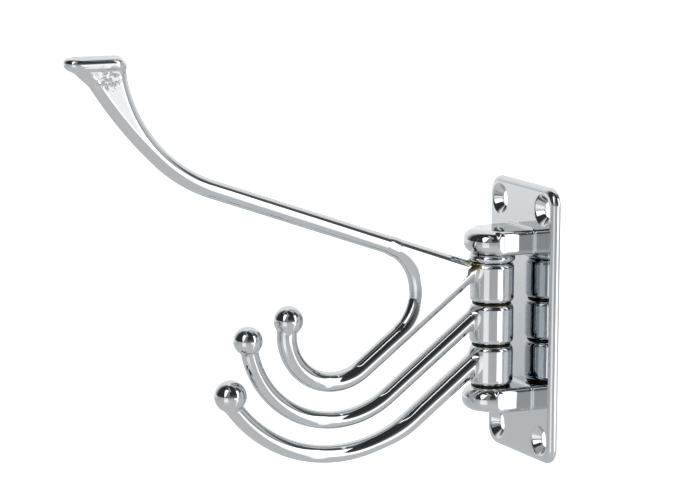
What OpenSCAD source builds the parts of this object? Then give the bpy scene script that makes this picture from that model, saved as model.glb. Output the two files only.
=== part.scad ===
// A triple coat hook for a wall: a cast plate with two lugs, a riveted pin between the lugs,
// and three cast arms that swing on the pin. The top arm is a hat and coat hook.
// The wall is the plane y = 0, the middle of the plate is the origin and the arms point to -Y.

/* [Wall plate] */
// Height of the plate
plate_h = 80.6; // [76:0.2:110]
// Width of the plate
plate_w = 38; // [34:1:60]
// Thickness of the plate
plate_t = 2.7; // [2.5:0.1:4]
// Radius of the plate's corners, seen from the front
plate_corner_r = 5; // [3:0.5:8]
// Radius of the plate's rounded front edge
plate_edge_r = 2; // [0.5:0.1:2.2]

/* [Screw holes] */
// From the middle of a hole to the side of the plate
screw_margin_x = 6.5; // [6:0.1:8]
// From the middle of a hole to the top or bottom of the plate
screw_margin_z = 6.7; // [6:0.1:7.5]
// Diameter of a screw hole
screw_hole_d = 4.3; // [4.2:0.1:5.5]
// Diameter of a countersink at the front of the plate
screw_sink_d = 8.8; // [8:0.1:9.4]

/* [Lugs] */
// Width of a lug, which is also the diameter of its round nose
lug_w = 16.8; // [14:0.2:18]
// Thickness of a lug
lug_t = 7.1; // [6.7:0.1:8]
// Radius of the rounded edges of a lug
lug_edge_r = 3.2; // [0.5:0.1:3.3]
// Height of the middle of the hinge above the middle of the plate
hinge_mid_z = 0.7; // [-1:0.1:1.5]
// Radius of the fillet between a lug and the plate
lug_fillet_r = 0.8; // [0.4:0.1:1.5]

/* [Pin] */
// From the wall to the axis of the pin
pin_from_wall = 11.9; // [11.5:0.1:16]
// Diameter of the pin
pin_d = 5.5; // [4.5:0.1:6.5]
// Diameter of the riveted ends, flush in the lugs
pin_head_d = 7; // [6.8:0.1:8]

/* [Knuckles, collar and washers] */
// Diameter of a knuckle
knuckle_d = 12.9; // [12:0.1:14.5]
// Height of a knuckle
knuckle_h = 11.75; // [10.5:0.05:12.5]
// Radius of the rounded edges of a knuckle
knuckle_edge_r = 1.5; // [0.5:0.1:2]
// Diameter of the bead collar under the upper lug
collar_d = 13.5; // [12:0.1:14.5]
// Height of the bead collar
collar_h = 2.5; // [1.5:0.1:3.5]
// Diameter of a washer
washer_d = 11.4; // [9:0.1:11.8]
// Thickness of a washer
washer_t = 0.3; // [0.2:0.05:0.5]

/* [Swing hooks] */
// Angle at which the hooks run down from their knuckles
hook_fall_angle = 37; // [30:1:42]
// Diameter of the lower arm's rod
lower_rod_d = 5.25; // [4:0.05:6]
// From the pin axis to the middle of the lower arm's bend
lower_bend_reach = 49.8; // [48:0.1:60]
// Radius of the lower arm's bend, to the middle of its rod
lower_bend_r = 39.5; // [38:0.5:42]
// Diameter of the lower arm's ball
lower_ball_d = 9.3; // [7:0.1:10]
// Angle from the bottom of the lower bend to its ball
lower_bend_angle = 58.5; // [40:0.5:60]
// How far the lower ball sits inside the line of its rod
lower_ball_inset = 1.1; // [0:0.1:1.2]
// Length of the thicker root of the lower arm's rod
lower_root_l = 26; // [4:1:26]
// Height of the lower arm's root above the middle of its knuckle
lower_root_z = 0.8; // [0:0.1:1.4]
// Diameter of the middle arm's rod
middle_rod_d = 5.1; // [4:0.05:6]
// From the pin axis to the middle of the middle arm's bend
middle_bend_reach = 50; // [48:0.1:60]
// Radius of the middle arm's bend, to the middle of its rod
middle_bend_r = 27.3; // [26:0.1:29]
// Diameter of the middle arm's ball
middle_ball_d = 8.4; // [7:0.1:9]
// Angle from the bottom of the middle bend to its ball
middle_bend_angle = 85; // [60:1:95]
// Height of the middle arm's root above the middle of its knuckle
middle_root_z = 1.7; // [0:0.1:2]
// Length of the thicker root of the middle arm's rod
middle_root_l = 4.5; // [3:0.5:8]

/* [Hat and coat arm] */
// Diameter of the hat arm's upper rod
hat_rod_d = 5.3; // [4.5:0.1:6]
// Angle at which the upper rod rises from its knuckle
hat_rise_angle = 19.3; // [12:0.1:26]
// Height of the hat arm's root above the middle of its knuckle
hat_root_z = 3.4; // [2:0.1:3.6]
// From the pin axis to the start of the upper rod's bend
hat_bend_reach = 88; // [70:1:110]
// Radius of the upper rod's bend, to the middle of its rod
hat_bend_r = 42.8; // [36:0.2:56]
// Angle of the rod where it meets the hat rest
hat_top_angle = 83.6; // [78:0.1:84]
// Radius of the surface between the upper rod and the coat hook
throat_r = 12.6; // [9:0.1:15]
// Diameter of the coat hook's rod
coat_rod_d = 5.8; // [4.5:0.1:6]
// Height of the coat hook's root above the middle of the knuckle
coat_root_z = 4.2; // [3.6:0.1:4.5]
// From the pin axis to the middle of the coat hook's bend
coat_bend_reach = 50.6; // [48:0.1:60]
// Radius of the coat hook's bend, to the middle of its rod
coat_bend_r = 14.7; // [13.5:0.1:17]
// Diameter of the coat hook's ball
coat_ball_d = 8.5; // [7:0.1:9]
// Angle from the bottom of the coat hook's bend to its ball
coat_bend_angle = 106; // [80:1:110]

/* [Hat rest] */
// From the inner rod of the neck to the free end of the rest
rest_reach = 14.7; // [12:0.1:20]
// Width of the rest across the arm
rest_w = 8; // [6.5:0.1:12]
// Thickness of the rest
rest_t = 3.7; // [2.5:0.1:4]
// Radius of the rest's corners over the neck
rest_corner_r = 2; // [1.9:0.1:3.5]
// Angle of the upper rod where the neck starts to widen
neck_start_angle = 43; // [38:1:50]
// Radius of the neck's outer rim
neck_outer_r = 120; // [90:5:160]
// Angle of the neck's outer rim where its foot starts
neck_outer_angle = 57; // [54:1:60]
// Length of the foot that carries the rest's free end
neck_foot = 7; // [5:0.1:7.2]
// Angle of that foot
neck_foot_angle = 42; // [38:1:48]

/* [Hidden] */
$fn = 72;

// Gap between two faces that turn on each other
face_gap = 0.05;
// Gap all round the pin inside a knuckle, a washer or the collar
turning_gap = 0.05;
// Gap all round the pin inside a lug, before it is riveted
seat_gap = 0.02;
// How far cuts run past the faces that they cut
overrun = 1;
// How far a rod runs into its knuckle
rod_inset = 2;
// Extra radius of the flare where a rod leaves its knuckle
root_flare_r = 0.9;
// How far a flare's thin end, the throat's bead and a fillet's back lie under a surface
tuck = 0.1;
// How much a fillet's thin edges are trimmed
cove_lift = 0.01;
// How far the ball in an elbow stands out from its two rods
seam = 0.05;
// How far the flat webs lie under the surface of the rods round them
web_recess = 0.15;
// Gap between the hat arm and the side of the collar
collar_side_gap = 0.5;
// Straight pieces in the hidden edges of a web, along each bend
web_steps = 12;

knuckle_r = knuckle_d / 2;
bore_r = pin_d / 2 + turning_gap;
washer_step = washer_t + face_gap;
knuckle_step = knuckle_h + face_gap;
stack_h = 3 * (washer_step + knuckle_step) + collar_h;
lower_face_z = hinge_mid_z - stack_h / 2;
upper_face_z = hinge_mid_z + stack_h / 2;
// Heights of the knuckles' lower faces, each on its own washer
lower_z = lower_face_z + washer_step;
middle_z = lower_z + knuckle_step + washer_step;
hat_z = middle_z + knuckle_step + washer_step;

function toward(angle) = [cos(angle), sin(angle)];

// A bent rod is described in the plane of its arm: x runs out from the pin, y runs up.
function hook_run(root, reach, bend_r) =
    (reach - root[0] - bend_r * sin(hook_fall_angle)) / cos(hook_fall_angle);

// Outlines with round corners
module rounded_rect(w, h, r) {
    square([w - 2 * r, h], center = true);
    square([w, h - 2 * r], center = true);
    for (x = [-1, 1], y = [-1, 1])
        translate([x * (w / 2 - r), y * (h / 2 - r)]) circle(r);
}

module barrel_half(r, h, edge) {
    square([r - edge, h]);
    translate([0, edge]) square([r, h - 2 * edge]);
    for (y = [edge, h - edge]) translate([r - edge, y]) circle(edge);
}

// The same for an edge that is larger than half the radius, so that it stays beside the axis
module small_barrel_half(r, h, edge) {
    intersection() {
        barrel_half(r, h, edge);
        square([r, h]);
    }
}

module quarter_disc(r) {
    intersection() {
        circle(r);
        square(r);
    }
}

module on_pin(z) {
    translate([0, -pin_from_wall, z]) children();
}

module bore(r, h) {
    translate([0, 0, -overrun]) cylinder(h = h + 2 * overrun, r = r);
}

// Wall plate
module plate_edge_bar(half_width, straight) {
    translate([half_width - plate_edge_r, straight / 2, plate_t - plate_edge_r])
        rotate([90, 0, 0]) linear_extrude(straight) quarter_disc(plate_edge_r);
}

module plate_body() {
    straight_x = plate_w - 2 * plate_corner_r;
    straight_z = plate_h - 2 * plate_corner_r;
    linear_extrude(plate_t - plate_edge_r) rounded_rect(plate_w, plate_h, plate_corner_r);
    translate([0, 0, plate_t - plate_edge_r]) linear_extrude(plate_edge_r)
        rounded_rect(plate_w - 2 * plate_edge_r, plate_h - 2 * plate_edge_r,
            plate_corner_r - plate_edge_r);
    for (turn = [0, 180]) {
        rotate([0, 0, turn]) plate_edge_bar(plate_w / 2, straight_z);
        rotate([0, 0, turn + 90]) plate_edge_bar(plate_h / 2, straight_x);
    }
    for (x = [0, 1], y = [0, 1])
        mirror([x, 0, 0]) mirror([0, y, 0])
            translate([straight_x / 2, straight_z / 2, plate_t - plate_edge_r])
                rotate_extrude(angle = 90)
                    translate([plate_corner_r - plate_edge_r, 0]) quarter_disc(plate_edge_r);
}

module screw_cut() {
    sink_depth = (screw_sink_d - screw_hole_d) / 2;
    bore(screw_hole_d / 2, plate_t);
    translate([0, 0, plate_t - sink_depth])
        cylinder(h = sink_depth + overrun, r1 = screw_hole_d / 2, r2 = screw_sink_d / 2 + overrun);
}

// The section of a fillet: its corner is at the origin, sunk a little into both sides
module cove(r) {
    difference() {
        translate([-tuck, -tuck]) square([r + tuck, r + tuck]);
        translate([r, r]) circle(r + cove_lift);
    }
}

// A fillet round a rounded rectangle that stands on the plane z = 0
module cove_round(w, h, corner_r, r) {
    for (turn = [0, 180]) rotate([0, 0, turn]) {
        translate([w / 2, h / 2 - corner_r]) rotate([90, 0, 0]) linear_extrude(h - 2 * corner_r) cove(r);
        translate([w / 2 - corner_r, -h / 2]) rotate([90, 0, -90])
            linear_extrude(w - 2 * corner_r) cove(r);
    }
    for (x = [0, 1], y = [0, 1])
        mirror([x, 0, 0]) mirror([0, y, 0])
            translate([w / 2 - corner_r, h / 2 - corner_r])
                rotate_extrude(angle = 90) translate([corner_r, 0]) cove(r);
}

module lug() {
    rotate([0, 0, 180]) rotate_extrude(angle = 180) barrel_half(lug_w / 2, lug_t, lug_edge_r);
    translate([0, pin_from_wall - plate_t / 2, lug_t / 2])
        rotate([90, 0, 0]) linear_extrude(pin_from_wall - plate_t / 2)
            rounded_rect(lug_w, lug_t, lug_edge_r);
    translate([0, pin_from_wall - plate_t, lug_t / 2]) rotate([90, 0, 0])
        cove_round(lug_w, lug_t, lug_edge_r, lug_fillet_r);
}

module pin_solid(gap) {
    r = pin_d / 2 + gap;
    head_r = pin_head_d / 2 + gap;
    head_h = head_r - r;
    pin_h = stack_h + 2 * lug_t;
    cylinder(h = pin_h, r = r);
    cylinder(h = head_h, r1 = head_r, r2 = r);
    translate([0, 0, pin_h - head_h]) cylinder(h = head_h, r1 = r, r2 = head_r);
}

module back_plate() color([0.80, 0.82, 0.84]) {
    difference() {
        union() {
            rotate([90, 0, 0]) plate_body();
            on_pin(upper_face_z) lug();
            on_pin(lower_face_z - lug_t) lug();
        }
        for (x = [-1, 1], z = [-1, 1])
            translate([x * (plate_w / 2 - screw_margin_x), 0, z * (plate_h / 2 - screw_margin_z)])
                rotate([90, 0, 0]) screw_cut();
        on_pin(lower_face_z - lug_t) pin_solid(seat_gap);
    }
}

module pivot_pin() color([0.72, 0.74, 0.76]) {
    on_pin(lower_face_z - lug_t) pin_solid(0);
}

module bead_collar() color([0.78, 0.80, 0.82]) {
    on_pin(upper_face_z - collar_h) difference() {
        rotate_extrude() {
            square([collar_d / 2 - collar_h / 2, collar_h]);
            translate([collar_d / 2 - collar_h / 2, collar_h / 2]) circle(collar_h / 2);
        }
        bore(bore_r, collar_h);
    }
}

module washer_under(z) color([0.71, 0.60, 0.36]) {
    on_pin(z - washer_step) difference() {
        cylinder(h = washer_t, r = washer_d / 2);
        bore(bore_r, washer_t);
    }
}

// The plane of an arm: x runs out from the pin and y runs up
module in_arm_plane(z) {
    on_pin(z + knuckle_h / 2) rotate([90, 0, -90]) children();
}

module aim(point, angle) {
    translate(point) rotate([0, 0, angle]) children();
}

// Rods and bends start here, along x, and put their children at their end
module rod(length, r) {
    rotate([0, 90, 0]) cylinder(h = length, r = r);
    translate([length, 0]) children();
}

module along_bend(bend_r, angle) {
    translate([0, bend_r]) rotate([0, 0, angle]) translate([0, -bend_r]) children();
}

module bend(bend_r, angle, r) {
    translate([0, bend_r]) rotate([0, 0, -90])
        rotate_extrude(angle = angle) translate([bend_r, 0]) circle(r);
    along_bend(bend_r, angle) children();
}

// The poles of its sphere lie along the rods, clear of the seams
module rod_end(r) {
    rotate([0, 90, 0]) sphere(r);
}

module web(outline, half_t) {
    linear_extrude(2 * half_t, center = true) polygon(outline);
}

module root_flare(rod_r, length) {
    rotate([0, 90, 0]) cylinder(h = length, r1 = rod_r + root_flare_r, r2 = rod_r - tuck);
}

module hook(root, inset, rod_r, reach, bend_r, end_angle, ball_r, ball_inset) {
    aim(root, -hook_fall_angle) translate([-inset, 0])
        rod(hook_run(root, reach, bend_r) + inset, rod_r)
            bend(bend_r, hook_fall_angle + end_angle, rod_r)
                translate([0, ball_inset]) sphere(ball_r);
}

module knuckle(z) {
    on_pin(z) rotate_extrude() barrel_half(knuckle_r, knuckle_h, knuckle_edge_r);
}

module swing_arm(z, root_z, root_l, rod_d, reach, bend_r, end_angle, ball_d, ball_inset) {
    difference() {
        union() {
            knuckle(z);
            in_arm_plane(z) {
                hook([knuckle_r, root_z], rod_inset, rod_d / 2, reach, bend_r, end_angle,
                    ball_d / 2, ball_inset);
                aim([knuckle_r, root_z], -hook_fall_angle) translate([-rod_inset, 0])
                    root_flare(rod_d / 2, root_l);
            }
        }
        on_pin(z) bore(bore_r, knuckle_h);
    }
}

module middle_arm() color([0.80, 0.82, 0.84]) {
    swing_arm(middle_z, middle_root_z, middle_root_l, middle_rod_d, middle_bend_reach,
        middle_bend_r, middle_bend_angle, middle_ball_d, 0);
}

module lower_arm() color([0.80, 0.82, 0.84]) {
    swing_arm(lower_z, lower_root_z, lower_root_l, lower_rod_d, lower_bend_reach,
        lower_bend_r, lower_bend_angle, lower_ball_d, lower_ball_inset);
}

// Hat and coat arm: two rods leave the knuckle from one root, with a flat web in the fork.
// The fork's apex is the point where their centre lines cross.
hat_root = [knuckle_r, hat_root_z];
hat_rod_r = hat_rod_d / 2;
coat_rod_r = coat_rod_d / 2;
rim_r = hat_rod_r - tuck;
root_ball_r = coat_rod_r + root_flare_r / 2;
web_half_t = hat_rod_r - web_recess;

apex_reach = (coat_root_z - hat_root_z) / (tan(hat_rise_angle) + tan(hook_fall_angle));
fork_apex = hat_root + apex_reach / cos(hat_rise_angle) * toward(hat_rise_angle);
fork_half = (hat_rise_angle + hook_fall_angle) / 2;
throat_bead_r = throat_r + hat_rod_r;
throat_reach = throat_bead_r / sin(fork_half);
throat_centre = fork_apex + throat_reach * toward((hat_rise_angle - hook_fall_angle) / 2);
throat_from_angle = 90 + hat_rise_angle;
throat_to_angle = 270 - hook_fall_angle;

hat_run = (hat_bend_reach - hat_root[0]) / cos(hat_rise_angle);
hat_bend_centre = hat_root + hat_run * toward(hat_rise_angle) + hat_bend_r * toward(90 + hat_rise_angle);
function hat_bend_at(angle) = hat_bend_centre + hat_bend_r * toward(angle - 90);

neck_centre = hat_bend_at(neck_start_angle) + neck_outer_r * toward(90 + neck_start_angle);
function neck_outer_at(angle) = neck_centre + neck_outer_r * toward(angle - 90);
post_top = hat_bend_at(hat_top_angle);
foot_start = neck_outer_at(neck_outer_angle);
foot_top = foot_start + neck_foot * toward(neck_foot_angle);

function between(low, high, step) = low + (high - low) * step / web_steps;

fork_outline = concat([fork_apex], [
    for (step = [0:web_steps])
        throat_centre + throat_bead_r * toward(between(throat_from_angle, throat_to_angle, step))
]);

neck_outline = concat(
    [for (step = [0:web_steps]) hat_bend_at(between(neck_start_angle, hat_top_angle, step))],
    [post_top, foot_top],
    [for (step = [web_steps:-1:0]) neck_outer_at(between(neck_start_angle, neck_outer_angle, step))]
);

module rest_section() {
    rounded_rect(rest_w, rest_t, rest_t / 2 - tuck);
}

// The hat rest is a flat bar with round edges and a round free end. Its other end is flush
// with the rod of the neck.
module hat_rest() {
    end_r = rest_w / 2;
    edge_r = rest_t / 2 - tuck;
    inner_x = rest_corner_r - hat_rod_r;
    bar_l = rest_reach - end_r - inner_x;
    translate([post_top[0] + inner_x, post_top[1] + hat_rod_r - rest_t, 0]) rotate([-90, 0, 0]) {
        translate([0, 0, rest_t / 2]) rotate([90, 0, 90]) linear_extrude(bar_l) rest_section();
        translate([bar_l, 0, 0]) rotate([0, 0, -90])
            rotate_extrude(angle = 180) barrel_half(end_r, rest_t, edge_r);
        translate([0, end_r - rest_corner_r, 0]) rotate([90, 0, 0])
            linear_extrude(rest_w - 2 * rest_corner_r)
                mirror([1, 0]) small_barrel_half(rest_corner_r, rest_t, edge_r);
        for (side = [0, 1])
            mirror([0, side, 0]) translate([0, end_r - rest_corner_r, 0]) rotate([0, 0, 90])
                rotate_extrude(angle = 90) small_barrel_half(rest_corner_r, rest_t, edge_r);
    }
}

module upper_rod() {
    aim(hat_root, hat_rise_angle) rod(hat_run, hat_rod_r)
        bend(hat_bend_r, hat_top_angle - hat_rise_angle, hat_rod_r)
            rod_end(rim_r);
}

module neck() {
    aim(hat_bend_at(neck_start_angle), neck_start_angle)
        bend(neck_outer_r, neck_outer_angle - neck_start_angle, rim_r) {
            rod_end(rim_r + seam);
            rotate([0, 0, neck_foot_angle - neck_outer_angle]) rod(neck_foot, rim_r);
        }
    web(neck_outline, web_half_t);
}

module coat_hook() {
    hook([knuckle_r, coat_root_z], 0, coat_rod_r, coat_bend_reach, coat_bend_r, coat_bend_angle,
        coat_ball_d / 2, 0);
}

module fork() {
    translate([knuckle_r, (hat_root_z + coat_root_z) / 2]) rod_end(root_ball_r);
    web(fork_outline, web_half_t);
    aim(throat_centre + throat_bead_r * toward(throat_from_angle), throat_from_angle + 90)
        bend(throat_bead_r, throat_to_angle - throat_from_angle, rim_r);
}

module hat_arm() color([0.80, 0.82, 0.84]) {
    difference() {
        union() {
            knuckle(hat_z);
            in_arm_plane(hat_z) {
                upper_rod();
                neck();
                hat_rest();
                coat_hook();
                fork();
            }
        }
        on_pin(hat_z) bore(bore_r, knuckle_h);
        on_pin(hat_z + knuckle_h)
            cylinder(h = collar_h + face_gap, r = collar_d / 2 + collar_side_gap);
    }
}

back_plate();
pivot_pin();
bead_collar();
washer_under(hat_z);  // upper_washer
washer_under(middle_z);  // middle_washer
washer_under(lower_z);  // lower_washer
hat_arm();
middle_arm();
lower_arm();
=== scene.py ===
# %% [markdown]
# # A triple coat hook in bright chrome
# The real object is a wall plate with two lugs, a pin between them, and three cast arms that
# swing on the pin. The top arm is a hat and coat hook: an upper rod that ends in a flat bar for
# a hat, and a short hook for a coat. The imported model brings each part at its true place, and
# this lesson gives the parts the soft edges, fillets and polish that a plated casting has.
# Nothing that is made here may reach outside it.

# %% Load the imported model
import math

import bmesh
import bpy
import numpy as np
from mathutils import Matrix, Vector


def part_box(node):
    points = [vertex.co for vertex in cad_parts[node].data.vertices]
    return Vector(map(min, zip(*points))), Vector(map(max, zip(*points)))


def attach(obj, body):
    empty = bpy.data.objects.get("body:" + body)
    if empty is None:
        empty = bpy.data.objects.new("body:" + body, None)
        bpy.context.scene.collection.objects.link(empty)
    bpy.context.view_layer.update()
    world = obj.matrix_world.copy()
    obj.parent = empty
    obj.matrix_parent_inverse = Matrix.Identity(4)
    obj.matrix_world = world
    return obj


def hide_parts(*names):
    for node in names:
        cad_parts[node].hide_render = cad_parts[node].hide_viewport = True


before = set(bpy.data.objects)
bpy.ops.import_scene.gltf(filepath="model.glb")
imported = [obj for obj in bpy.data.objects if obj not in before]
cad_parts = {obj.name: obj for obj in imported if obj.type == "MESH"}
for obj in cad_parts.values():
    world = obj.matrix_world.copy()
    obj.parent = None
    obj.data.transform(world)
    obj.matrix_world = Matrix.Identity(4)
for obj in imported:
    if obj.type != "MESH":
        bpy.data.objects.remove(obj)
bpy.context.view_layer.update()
print("parts:", sorted(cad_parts))

# %% [markdown]
# ## Sizes
# Lengths are in millimetres, as a drawing gives them, and one factor turns them to Blender's
# metres when a mesh is made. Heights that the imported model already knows, such as the lugs'
# inner faces, could be typed in again, but they are read from its boxes, so they can't differ.

# %% Main sizes
MM = 0.001
PIN_R = 5.5 / 2
RUNNING_GAP = 0.05
BORE_R = PIN_R + RUNNING_GAP
LUG_T = 7.1


def node_box(name):
    """The lowest and highest corner of a part, in millimetres."""
    low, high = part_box(name)
    return np.array(low) / MM, np.array(high) / MM


pin_low, pin_high = node_box("pivot_pin")
pin_y = (pin_low[1] + pin_high[1]) / 2
lower_face_z = pin_low[2] + LUG_T
upper_face_z = pin_high[2] - LUG_T
print("pin axis at y =", round(pin_y, 3), "mm")
print("space between the lugs:", round(upper_face_z - lower_face_z, 2), "mm")

# %% [markdown]
# ## The camera
# The photograph looks down a little from the hook's right side with a long lens. The view
# direction, the distance and the shift come from fitting the plate's corners, the holes and
# the arms. The lens follows from the frame width of 700 pixels and a 36 mm sensor. The camera
# is aimed with its own three axes, which leaves no doubt about the small roll.

# %% Camera
VIEW_AZIMUTH, VIEW_ELEVATION, VIEW_ROLL = (math.radians(a) for a in (64.08, 9.49, 0.34))
VIEW_DISTANCE = 0.900
AIM_RIGHT, AIM_UP = -0.05169, 0.01978
FOCAL_PIXELS = 3086.27
FRAME_PIXELS = 700
SENSOR = 36.0


def place_camera():
    """A camera at the photograph's angle, made the scene's own."""
    towards = Vector((
        math.sin(VIEW_AZIMUTH) * math.cos(VIEW_ELEVATION),
        -math.cos(VIEW_AZIMUTH) * math.cos(VIEW_ELEVATION),
        math.sin(VIEW_ELEVATION),
    ))
    level_right = Vector((math.cos(VIEW_AZIMUTH), math.sin(VIEW_AZIMUTH), 0))
    level_up = towards.cross(level_right)
    right = level_right * math.cos(VIEW_ROLL) + level_up * math.sin(VIEW_ROLL)
    up = level_up * math.cos(VIEW_ROLL) - level_right * math.sin(VIEW_ROLL)
    camera = bpy.data.objects.new("camera", bpy.data.cameras.new("camera"))
    bpy.context.scene.collection.objects.link(camera)
    place = towards * VIEW_DISTANCE + right * AIM_RIGHT + up * AIM_UP
    turn = Matrix((right, up, towards)).transposed().to_4x4()
    camera.matrix_world = Matrix.Translation(place) @ turn
    camera.data.sensor_width = SENSOR
    camera.data.lens = FOCAL_PIXELS * SENSOR / FRAME_PIXELS
    camera.data.clip_end = 100
    bpy.context.scene.camera = camera
    return camera


camera = place_camera()
print("lens:", round(camera.data.lens, 2), "mm")

# %% [markdown]
# ## Shapes from distances
# A casting has no sharp inner corners: every rod flows into its neighbour through a fillet.
# Joining meshes with booleans leaves creases, and chrome shows each of them. So each casting
# is written as a field instead, a function that gives the distance from any point to the
# metal's surface, negative inside. Two fields join with a fillet by one short formula, and
# the same formula, turned inside out, cuts one from the other with a rounded edge.

# %% Join and cut fields


def join(a, b, fillet):
    """The union of two fields, with a fillet of about that radius in the corner between them."""
    near = np.maximum(fillet - np.abs(a - b), 0)
    return np.minimum(a, b) - near * near / (4 * fillet)


def cut(a, tool, edge):
    """Takes a tool's field away from another, with a rounded edge."""
    return -join(-a, tool, edge)


def outside(p, q):
    """Distance to a corner, from the distances past its two sides."""
    return np.hypot(np.maximum(p, 0), np.maximum(q, 0)) + np.minimum(np.maximum(p, q), 0)


def smooth(share):
    """Goes from 0 to 1 with a level start and end, and stays there."""
    share = np.clip(share, 0, 1)
    return share * share * (3 - 2 * share)


print("3 mm and 4 mm past two sides is", float(outside(3.0, 4.0)), "mm from the corner")

# %% [markdown]
# ## Distances in an arm's plane
# An arm is drawn as the foundry's pattern maker draws it, from the side, with s straight out
# from the pin and t up. It needs only a straight line, an arc and a filled outline for its
# webs. The distance across the plane is added later, as the section's second side, which
# gives every rod a round section and every web a full-round edge.

# %% Line, arc and outline


def toward(angle):
    """A step of one millimetre at an angle in degrees above straight out."""
    return np.array([math.cos(math.radians(angle)), math.sin(math.radians(angle))])


def to_line(s, t, start, end):
    """Distance from the points (s, t) to a straight line between two points."""
    run = np.subtract(end, start)
    along = ((s - start[0]) * run[0] + (t - start[1]) * run[1]) / (run @ run)
    along = np.clip(along, 0, 1)
    return np.hypot(s - start[0] - along * run[0], t - start[1] - along * run[1])


def to_arc(s, t, centre, radius, start, end):
    """Distance from the points (s, t) to an arc from one angle to a larger one, in degrees."""
    angle = np.degrees(np.arctan2(t - centre[1], s - centre[0]))
    middle = (start + end) / 2
    angle = middle + (angle - middle + 180) % 360 - 180
    angle = np.radians(np.clip(angle, start, end))
    return np.hypot(s - centre[0] - radius * np.cos(angle), t - centre[1] - radius * np.sin(angle))


def to_area(s, t, outline):
    """Distance from the points (s, t) to a filled outline, zero inside it."""
    distance = np.full(np.broadcast(s, t).shape, np.inf)
    inside = np.zeros(distance.shape, bool)
    for start, end in zip(outline, np.roll(outline, -1, axis=0)):
        distance = np.minimum(distance, to_line(s, t, start, end))
        if start[1] != end[1]:
            crossing = start[0] + (t - start[1]) * (end[0] - start[0]) / (end[1] - start[1])
            inside ^= ((start[1] > t) != (end[1] > t)) & (s < crossing)
    return np.where(inside, 0, distance)


square = np.array([(0, 0), (1, 0), (1, 1), (0, 1)])
print("from (3, 1) to a square of 1 mm:", float(to_area(3.0, 1.0, square)), "mm")

# %% [markdown]
# ## A net over the surface
# A field has to become faces. Marching cubes is the best-known way, but it leaves slivers that
# catch the light. A surface net is gentler: it puts one vertex in each cell of a grid that the
# surface crosses, and one four-sided face across each grid edge that it crosses. The grid
# starts a little outside the part's box, at no round number, so that no flat face of the part
# lies exactly in a layer of it.

# %% Surface net
GRID_STEP = 0.5
NET_MARGIN = 2.37


def net_of(field, low, high, step):
    """The points and the four-sided faces of a field's surface inside a box."""
    margin = NET_MARGIN * step
    ticks = [np.arange(a - margin, b + margin, step) for a, b in zip(low, high)]
    value = field(ticks[0][:, None, None], ticks[1][None, :, None], ticks[2][None, None, :])
    cells = tuple(n - 1 for n in value.shape)
    total, crossings = np.zeros((*cells, 3)), np.zeros(cells)
    crossed_edges = []
    for axis in range(3):
        first = [slice(None)] * 3
        second = [slice(None)] * 3
        first[axis], second[axis] = slice(0, -1), slice(1, None)
        a, b = value[tuple(first)], value[tuple(second)]
        crossed = (a < 0) != (b < 0)
        share = np.where(crossed, a / np.where(crossed, a - b, 1), 0)
        i, j, k = np.nonzero(crossed)
        edge = np.stack([i, j, k], -1)
        point = np.stack([ticks[0][i], ticks[1][j], ticks[2][k]], -1)
        point[:, axis] += share[i, j, k] * step
        for back in ((0, 0), (0, 1), (1, 0), (1, 1)):
            cell = tuple(cell_beside(edge, axis, back).T)
            np.add.at(total, cell, point)
            np.add.at(crossings, cell, 1)
        crossed_edges.append((axis, edge, a[i, j, k] < 0))
    used = crossings > 0
    number = np.full(cells, -1)
    number[used] = np.arange(used.sum())
    points = total[used] / crossings[used][:, None]
    faces = []
    for axis, edge, leaving in crossed_edges:
        around = ((0, 0), (1, 0), (1, 1), (0, 1))
        corners = np.stack([number[tuple(cell_beside(edge, axis, back).T)] for back in around], -1)
        flip = leaving if axis == 1 else ~leaving
        corners[flip] = corners[flip][:, ::-1]
        faces.append(corners)
    return points, np.concatenate(faces)


def cell_beside(edge, axis, back):
    """One of the four cells round a grid edge, the given steps back across its axis."""
    cell = edge.copy()
    across = [n for n in range(3) if n != axis]
    cell[:, across[0]] -= back[0]
    cell[:, across[1]] -= back[1]
    return cell


def ball_of_three(x, y, z):
    """A ball with a radius of 3 mm, to try the net on."""
    return np.sqrt(x * x + y * y + z * z) - 3


trial_points, trial_faces = net_of(ball_of_three, (-3, -3, -3), (3, 3, 3), 1.0)
print("a ball 6 mm across on a 1 mm grid has", len(trial_faces), "faces")

# %% [markdown]
# ## Points onto the surface
# The net's vertices lie near the surface, not on it, and polished metal shows that as ripples.
# Each vertex is slid along the field's gradient until the distance is zero. Between the
# slides the vertices are spread evenly, like a relaxed cloth. The gradient is also the exact
# shading normal, so reflections run as smoothly as on the real part with a moderate mesh.

# %% Slide and spread
SLOPE_REACH = 0.004
LEAST_SLOPE = 0.05
SPREAD_SHARE = 0.6


def gradient(field, points):
    """The direction in which a field grows fastest, at each point."""
    slopes = []
    for axis in range(3):
        step = np.zeros(3)
        step[axis] = SLOPE_REACH
        ahead, behind = points + step, points - step
        slopes.append((field(*ahead.T) - field(*behind.T)) / (2 * SLOPE_REACH))
    return np.stack(slopes, -1)


def settle(field, points, rounds):
    """Slides points onto the surface."""
    for _ in range(rounds):
        slope = gradient(field, points)
        size = np.maximum((slope * slope).sum(1), LEAST_SLOPE)
        points = points - slope * (field(*points.T) / size)[:, None]
    return points


def even_out(points, faces, field, rounds):
    """Moves each vertex towards the middle of its neighbours, and back onto the surface."""
    edges = np.concatenate([faces[:, [n, (n + 1) % 4]] for n in range(4)])
    count = np.bincount(edges[:, 0], minlength=len(points))[:, None]
    for _ in range(rounds):
        middle = np.zeros_like(points)
        np.add.at(middle, edges[:, 0], points[edges[:, 1]])
        points = settle(field, points + SPREAD_SHARE * (middle / count - points), 1)
    return points


trial_points = settle(ball_of_three, trial_points, 3)
error = float(np.abs(ball_of_three(*trial_points.T)).max())
print("the trial ball's points are within", f"{error:.1e}", "mm of its surface")

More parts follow.
